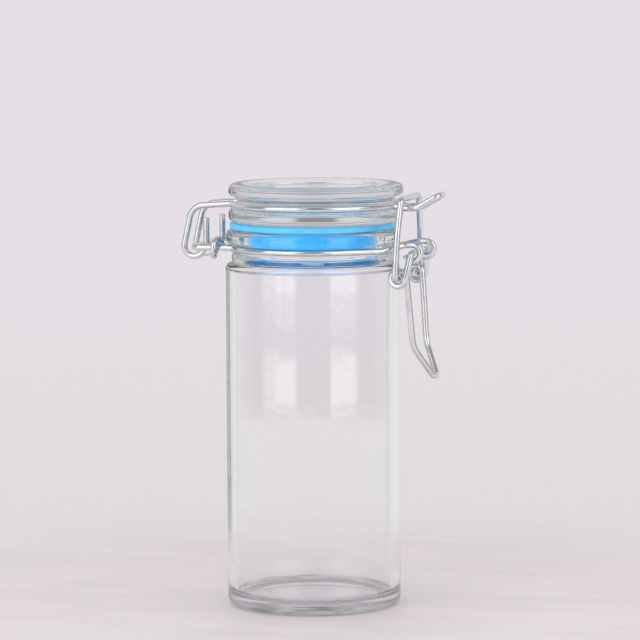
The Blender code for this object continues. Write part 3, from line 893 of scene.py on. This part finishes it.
class CLIPJAR_OT_neck_wire(bpy.types.Operator):
    """Bends the neck wire: the hinge ear, the ring and a curled eye at each front end"""

    bl_idname = "clip_jar.neck_wire"
    bl_label = "Neck Wire"

    def execute(self, context):
        _, _, wire, _ = settings()
        pivot = (wire.pivot_reach, wire.neck_height - wire.pivot_drop)
        arm_angle = math.pi - math.asin(ARM_SPREAD / wire.neck_ring)
        eye_top = pivot[1] + EYE_RADIUS
        lead_x = pivot[0] - EYE_LEAD
        touch = math.acos(wire.neck_ring / math.hypot(lead_x, EYE_SPREAD))
        leave = math.atan2(EYE_SPREAD, lead_x) + touch
        level = math.sqrt(STRAND_LEVEL_RADIUS**2 - wire.neck_ring**2)
        level_end = (
            wire.neck_ring * math.cos(leave) + level * math.sin(leave),
            wire.neck_ring * math.sin(leave) - level * math.cos(leave),
            wire.neck_height,
        )
        ring = ring_corners(wire.neck_ring, wire.neck_height, arm_angle, leave)
        half = [
            ((-wire.hinge_reach, 0, wire.neck_height), 0),
            ((-wire.hinge_reach, ARM_SPREAD, wire.neck_height), EAR_BEND),
            (ring[0][0], ARM_BEND),
            *ring[1:],
            (level_end, STRAND_BEND),
            ((lead_x, EYE_SPREAD, eye_top), EYE_LEAD_BEND),
            ((pivot[0], EYE_SPREAD, eye_top), 0),
        ]
        line = rounded(half)
        for angle in arc(math.pi / 2, math.pi / 2 - EYE_TURN, CURL_STEP)[1:]:
            x, z = on_circle(pivot, EYE_RADIUS, angle)
            line.append(Vector((x, EYE_SPREAD, z)))
        bent_wire("neck_wire", both_sides(line), "jar_body")
        return {"FINISHED"}


class CLIPJAR_OT_collar_tie(bpy.types.Operator):
    """Bends the tie behind the neck, with a turn round each arm of the ear and a post"""

    bl_idname = "clip_jar.collar_tie"
    bl_label = "Collar Tie"

    def execute(self, context):
        _, _, wire, _ = settings()
        height = wire.neck_height
        leave = math.pi - math.asin(TIE_SPREAD / wire.neck_ring)
        ring = ring_corners(wire.neck_ring, height, math.pi, leave)
        pitch = wire.diameter + COIL_GAP
        front = pitch - WRAP_BACK
        half = [*ring[:-1], (ring[-1][0], TIE_BEND), ((front, TIE_SPREAD, height), 0)]
        line = rounded(half)
        for angle in arc(0, math.tau, CURL_STEP)[1:]:
            y = ARM_SPREAD - WRAP_RADIUS * math.cos(angle)
            z = height + WRAP_RADIUS * math.sin(angle)
            line.append(Vector((front - pitch * angle / math.tau, y, z)))
        post = [
            (line[-1], 0),
            ((-POST_REACH, TIE_SPREAD, height), POST_BEND),
            ((-POST_REACH, TIE_SPREAD, height + POST_HEIGHT), 0),
        ]
        line += rounded(post)[1:]
        bent_wire("collar_tie", both_sides(line), "jar_body")
        return {"FINISHED"}


class CLIPJAR_OT_lid_wire(bpy.types.Operator):
    """Bends the lid wire: a ring in the lid's groove, two hinge hooks and the nose"""

    bl_idname = "clip_jar.lid_wire"
    bl_label = "Lid Wire"

    def execute(self, context):
        glass, _, wire, _ = settings()
        centre = (-wire.hinge_reach - HOOK_PLAY, wire.neck_height)
        elbow = (-ELBOW_REACH, wire.lid_height - ELBOW_DROP)
        strand = tangent_angle(elbow, centre, HOOK_RADIUS, 1)
        line = []
        for angle in arc(HOOK_END, strand, CURL_STEP)[:-1]:
            x, z = on_circle(centre, HOOK_RADIUS, angle)
            line.append(Vector((x, HOOK_SPREAD, z)))
        x, z = on_circle(centre, HOOK_RADIUS, strand)
        back = math.pi - math.asin(HOOK_SPREAD / wire.lid_ring)
        front = math.asin(NOSE_SPREAD / wire.lid_ring)
        ring = ring_corners(
            wire.lid_ring, wire.lid_height, back, front, glass.lid_offset
        )
        nose = wire.lid_height - NOSE_DROP
        tip = nose + NOSE_TIP_RISE
        corners = [
            ((x, HOOK_SPREAD, z), 0),
            ((elbow[0], HOOK_SPREAD, elbow[1]), ELBOW_BEND),
            (ring[0][0], LID_WIRE_BEND),
            *ring[1:-1],
            (ring[-1][0], LID_WIRE_BEND),
            ((NOSE_START, NOSE_SPREAD, nose), NOSE_BEND),
            ((NOSE_KNEE, NOSE_SPREAD, nose), NOSE_BEND),
            ((NOSE_TIP_REACH, NOSE_TIP_SPREAD, tip), NOSE_TIP_BEND),
            ((NOSE_TIP_REACH, 0, tip), 0),
        ]
        line += rounded(corners)
        bent_wire("lid_wire", both_sides(line[::-1]), "lid_set")
        return {"FINISHED"}


class CLIPJAR_OT_lever(bpy.types.Operator):
    """Bends the finger lever, with a coil in each leg and a stub through each eye"""

    bl_idname = "clip_jar.lever"
    bl_label = "Lever"

    def execute(self, context):
        _, _, wire, _ = settings()
        pivot = (wire.pivot_reach, wire.neck_height - wire.pivot_drop)
        coil = (wire.coil_reach, pivot[1] - wire.coil_drop)
        kick = (KICK_REACH, coil[1] - KICK_DROP)
        tip = coil[1] - TIP_DROP
        arm = tangent_angle(pivot, coil, COIL_RADIUS, -1)
        leg = tangent_angle(kick, coil, COIL_RADIUS, 1)
        corners = [
            ((TIP_REACH, 0, tip), 0),
            ((TIP_REACH, TIP_SPREAD, tip), TIP_BEND),
            ((kick[0], KICK_SPREAD, kick[1]), KICK_BEND),
        ]
        full = math.tau - (leg - arm)
        for angle in arc(leg, leg + full, CURL_STEP):
            outward = (COIL_OUTER_SPREAD - COIL_INNER_SPREAD) * (angle - leg) / full
            x, z = on_circle(coil, COIL_RADIUS, angle)
            corners.append(((x, COIL_INNER_SPREAD + outward, z), 0))
        corners.append(((pivot[0], STUB_SPREAD, pivot[1]), STUB_BEND))
        corners.append(((pivot[0], STUB_END, pivot[1]), 0))
        bent_wire("lever", both_sides(rounded(corners)), "lever_clip")
        return {"FINISHED"}


class CLIPJAR_OT_tension_bail(bpy.types.Operator):
    """Bends the tension bail: the bar over the nose and two splayed legs"""

    bl_idname = "clip_jar.tension_bail"
    bl_label = "Tension Bail"

    def execute(self, context):
        _, _, wire, _ = settings()
        coil = (wire.coil_reach, wire.neck_height - wire.pivot_drop - wire.coil_drop)
        bar = (wire.bar_reach, wire.bar_height)
        waist_x = bar[0] + (coil[0] - bar[0]) * WAIST_DROP / (bar[1] - coil[1])
        corners = [
            ((bar[0], 0, bar[1]), 0),
            ((bar[0], BAR_SPREAD, bar[1]), BAR_BEND),
            ((waist_x, WAIST_SPREAD, bar[1] - WAIST_DROP), WAIST_BEND),
            ((coil[0], BAIL_SPREAD, coil[1]), BAIL_END_BEND),
            ((coil[0], BAIL_END, coil[1]), 0),
        ]
        bent_wire("tension_bail", both_sides(rounded(corners)), "bail_clip")
        return {"FINISHED"}


class CLIPJAR_OT_stage(bpy.types.Operator):
    """Sets the floor, the backdrop, the lights and the camera"""

    bl_idname = "clip_jar.stage"
    bl_label = "Stage"

    def execute(self, context):
        make_floor()
        make_world()
        make_lights()
        make_camera()
        context.scene.view_settings.view_transform = "Standard"
        cycles = context.scene.cycles
        cycles.max_bounces = BOUNCES
        cycles.glossy_bounces = BOUNCES
        cycles.transmission_bounces = BOUNCES
        return {"FINISHED"}


def make_floor():
    """A pale round floor, faintly streaked across the view, that fades into the backdrop."""
    _, _, _, stage = settings()
    deselect_everything()
    bpy.ops.mesh.primitive_circle_add(
        vertices=96, radius=stage.floor_radius, fill_type="NGON", location=(0, 0, 0)
    )
    floor = bpy.context.object
    floor.name = floor.data.name = "floor"
    finish = Finish("pale_floor")
    place = finish.object_place((1, 1, 1))
    grain = finish.object_place((0.10, 1.0, 1.0), (0, 0, -stage.azimuth))
    streaks = finish.noise(grain, 0.012, 4.0, 0.6) * 0.6 + finish.noise(place, 0.05) * 0.4
    dark = tuple(channel * 0.93 for channel in stage.floor)
    shade = finish.blend(streaks.smooth(0.35, 0.60), (*dark, 1), (*stage.floor, 1))
    reach = finish.node("ShaderNodeVectorMath", {"operation": "LENGTH"}, place, output=1)
    fade = 1 - (reach / stage.floor_radius).smooth(0.26, 0.66)
    solid = finish.node(
        "ShaderNodeBsdfPrincipled", None, Roughness=0.55, **{"Base Color": shade}
    )
    clear = finish.node("ShaderNodeBsdfTransparent")
    both = finish.node("ShaderNodeMixShader", None, fade, clear, solid)
    finish.node("ShaderNodeOutputMaterial", None, Surface=both)
    floor.data.materials.append(finish.owner)


def make_world():
    """Even light all round, and a pale backdrop that the camera sees, also through glass.

    A ray that has reflected once or more sees the room instead.
    """
    _, _, _, stage = settings()
    finish = Finish("studio", world=True)
    aim = finish.node("ShaderNodeTexCoord", output="Generated")
    x, y, z = (
        finish.node("ShaderNodeSeparateXYZ", None, aim, output=axis) for axis in "XYZ"
    )
    across = x * math.cos(stage.azimuth) + y * math.sin(stage.azimuth)
    ahead = x * math.sin(stage.azimuth) - y * math.cos(stage.azimuth)
    bearing = across.maths("ARCTAN2", across, ahead) * (180 / math.pi)
    pitch = z.maths("ARCSINE", z) * (180 / math.pi)
    backdrop = finish.blend(
        pitch.smooth(-9.5, -5.0), (*stage.backdrop_low, 1), (*stage.backdrop_high, 1)
    )
    rays = "ShaderNodeLightPath"
    reflected = finish.node(rays, output="Glossy Depth").smooth(0.1, 0.9)
    shade = finish.blend(reflected, backdrop, make_room(finish, bearing, pitch, backdrop))
    seen = finish.node(rays, output="Is Camera Ray")
    seen = seen + finish.node(rays, output="Is Glossy Ray")
    seen = seen + finish.node(rays, output="Is Transmission Ray")
    seen = seen.maths("MINIMUM", seen, 1.0)
    lit = finish.node("ShaderNodeBackground", None, (1.0, 0.98, 1.0, 1.0), stage.fill)
    shown = finish.node("ShaderNodeBackground", None, shade, 1.0)
    both = finish.node("ShaderNodeMixShader", None, seen, lit, shown)
    finish.node("ShaderNodeOutputWorld", None, Surface=both)
    bpy.context.scene.world = finish.owner


def make_room(finish, bearing, pitch, backdrop):
    """The room by bearing and pitch in degrees, where bearing 0 is the camera's side.

    A grey room with a window on either side of the camera, each with a bar across it, a pale
    ceiling, a table in front, a dark gap behind the jar on the left and the backdrop behind it.
    """
    _, _, _, stage = settings()
    aside = bearing.maths("ABSOLUTE", bearing)
    table = 1 - pitch.smooth(-7.7, -7.3)
    rear = aside.smooth(95, 130)
    gap = bearing.band(-171, -157, 3.0) * pitch.band(-14.0, -3.0, 1.0)
    low_wall = pitch.band(2.5, 7.0, 1.0) * (0.16 - aside.smooth(168, 174) * 0.46)
    level = pitch.band(-14.0, 0.0, 1.0)
    front = (1 - rear) * table * 0.56 + 0.36
    grey = front + rear * 0.27 + rear * level * 0.17 - gap * 0.68 + low_wall
    low = pitch.band(-7.42, -6.61, 0.08) + pitch.band(-6.58, -6.25, 0.04) * 0.35
    high = pitch.band(-6.22, -5.82, 0.04) * 0.6 + pitch.band(-5.78, 16.0, 0.08)
    windows = (bearing.band(-72, -25, 2.5) + bearing.band(24, 60, 2.5)) * (low + high)
    ceiling = pitch.band(16.0, 56.0, 5.0) * aside.band(15.0, 78.0, 3.0)
    light_there = windows * stage.window + ceiling * stage.ceiling
    bright = grey.maths("MAXIMUM", grey, light_there)
    seen_level = aside.smooth(168, 176) * pitch.band(-20.0, 0.0, 2.0)
    seen_high = aside.smooth(100, 125) * pitch.band(8.5, 30.0, 0.5)
    return finish.blend(seen_level + seen_high, bright, backdrop)


def light(name, azimuth, elevation, distance, size, power):
    """A soft rectangular light that faces the jar, placed as the other views count angles.

    Metal and glass mirror the room's windows instead of the lamps.
    """
    middle = Vector((0, 0, JAR_BOX[1].z / 2))
    around, above = math.radians(azimuth), math.radians(elevation)
    out = Vector(
        (
            math.sin(around) * math.cos(above),
            -math.cos(around) * math.cos(above),
            math.sin(above),
        )
    )
    deselect_everything()
    bpy.ops.object.light_add(type="AREA", location=middle + out * distance)
    lamp = bpy.context.object
    lamp.name = lamp.data.name = name
    lamp.rotation_euler = out.to_track_quat("Z", "Y").to_euler()
    lamp.data.shape = "RECTANGLE"
    lamp.data.size, lamp.data.size_y = size
    lamp.data.energy = power
    lamp.visible_glossy = False
    lamp.visible_transmission = False


def make_lights():
    _, _, _, stage = settings()
    light("key", -15, 18, 0.75, (0.5, 0.5), stage.key)
    light("side", 75, 22, 0.80, (0.35, 0.6), stage.key * 0.5)
    light("top", 10, 85, 0.70, (0.6, 0.6), stage.key * 0.15)


def make_camera():
    """The photograph's view: a long lens from a little above, just off the front."""
    _, _, _, stage = settings()
    around = stage.azimuth
    out = Vector((math.sin(around), -math.cos(around), 0))
    side = Vector((math.cos(around), math.sin(around), 0))
    eye = out * stage.distance + Vector((0, 0, stage.height))
    target = side * stage.aim_side + Vector((0, 0, stage.aim_height))
    deselect_everything()
    bpy.ops.object.camera_add(location=eye)
    camera = bpy.context.object
    camera.name = camera.data.name = "camera"
    facing = (target - eye).to_track_quat("-Z", "Y")
    tilted = facing @ Quaternion((0, 0, 1), stage.roll)
    camera.rotation_euler = tilted.to_euler()
    camera.data.sensor_width = 36.0
    camera.data.lens = stage.lens
    camera.data.clip_start = stage.distance / 100
    camera.data.clip_end = stage.distance * 100
    bpy.context.scene.camera = camera


class CLIPJAR_PT_panel(bpy.types.Panel):
    """Lists the pieces of the clip-top jar and its settings"""

    bl_idname = "CLIPJAR_PT_panel"
    bl_label = "Clip-top Jar"
    bl_space_type = "VIEW_3D"
    bl_region_type = "UI"
    bl_category = "Clip Jar"

    def draw(self, context):
        for maker in MAKERS:
            self.layout.operator(maker.bl_idname)
        for group in settings():
            for name in group.__annotations__:
                self.layout.prop(group, name)


MAKERS = (
    CLIPJAR_OT_jar,
    CLIPJAR_OT_lid,
    CLIPJAR_OT_gasket,
    CLIPJAR_OT_neck_wire,
    CLIPJAR_OT_collar_tie,
    CLIPJAR_OT_lid_wire,
    CLIPJAR_OT_lever,
    CLIPJAR_OT_tension_bail,
    CLIPJAR_OT_stage,
)
GROUPS = {
    "clip_jar_glass": ClipJarGlass,
    "clip_jar_seal": ClipJarSeal,
    "clip_jar_wire": ClipJarWire,
    "clip_jar_stage": ClipJarStage,
}


def register():
    for group in GROUPS.values():
        bpy.utils.register_class(group)
    for name, group in GROUPS.items():
        setattr(bpy.types.Scene, name, PointerProperty(type=group))
    for maker in MAKERS:
        bpy.utils.register_class(maker)
    bpy.utils.register_class(CLIPJAR_PT_panel)


def unregister():
    bpy.utils.unregister_class(CLIPJAR_PT_panel)
    for maker in reversed(MAKERS):
        bpy.utils.unregister_class(maker)
    for name in GROUPS:
        delattr(bpy.types.Scene, name)
    for group in reversed(list(GROUPS.values())):
        bpy.utils.unregister_class(group)


def main():
    register()
    bpy.ops.clip_jar.jar()
    bpy.ops.clip_jar.lid()
    bpy.ops.clip_jar.gasket()
    bpy.ops.clip_jar.neck_wire()
    bpy.ops.clip_jar.collar_tie()
    bpy.ops.clip_jar.lid_wire()
    bpy.ops.clip_jar.lever()
    bpy.ops.clip_jar.tension_bail()
    bpy.ops.clip_jar.stage()


if __name__ == "__main__":
    main()
